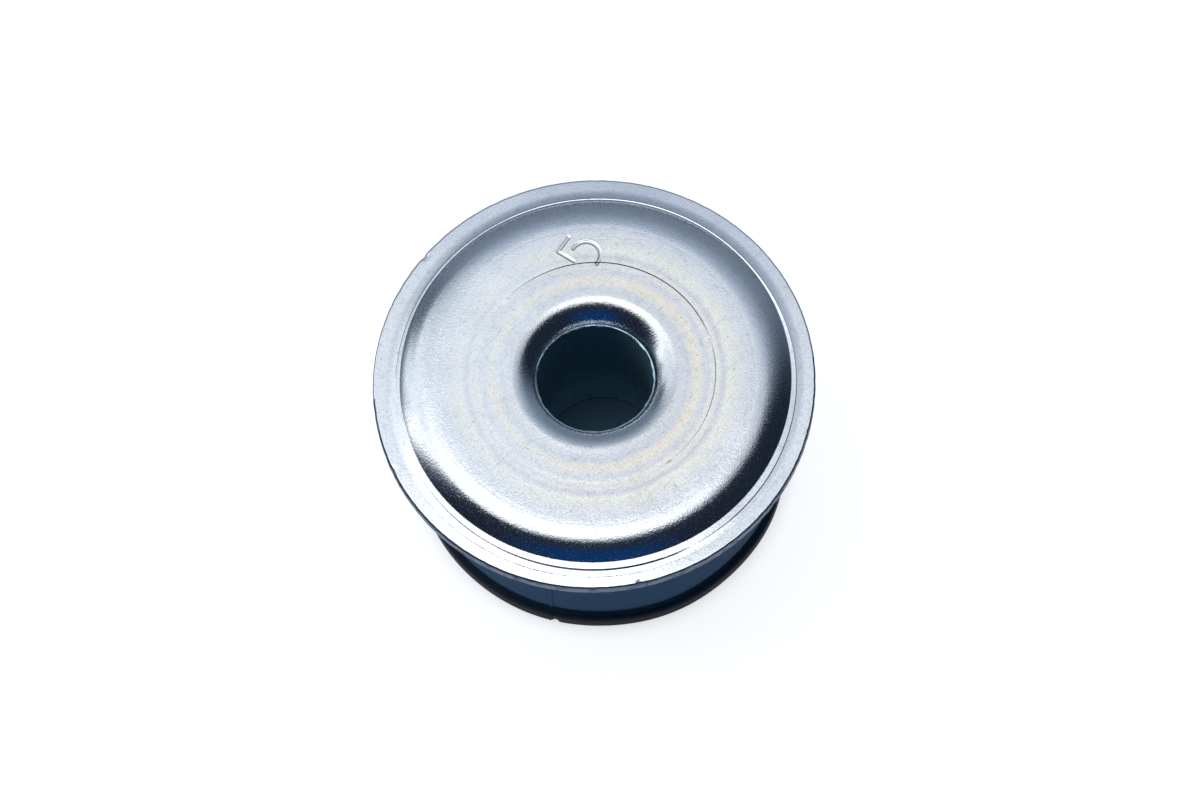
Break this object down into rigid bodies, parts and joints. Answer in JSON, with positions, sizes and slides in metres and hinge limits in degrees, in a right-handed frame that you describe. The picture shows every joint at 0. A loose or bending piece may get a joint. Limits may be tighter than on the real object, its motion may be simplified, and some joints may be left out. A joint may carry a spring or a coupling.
{
  "type": "rubber isolator",
  "caption": "Round rubber isolator: a zinc-plated domed cap washer with a drawn bolt hole and flared rim, bonded on a moulded rubber body with a through bore.",
  "frame": {"origin": "centre of the rubber's base, on the bolt hole's axis", "axes": "+Z along the bolt hole, from the rubber base towards the cap washer"},
  "size_m": [0.0484, 0.0484, 0.0228],
  "materials": {
    "zinc_plate": "bright zinc plating with fine handling marks",
    "rubber": "smooth moulded rubber"
  },
  "bodies": {
    "root": {"cap_washer": "zinc_plate", "rubber_body": "rubber"}
  },
  "joints": []
}
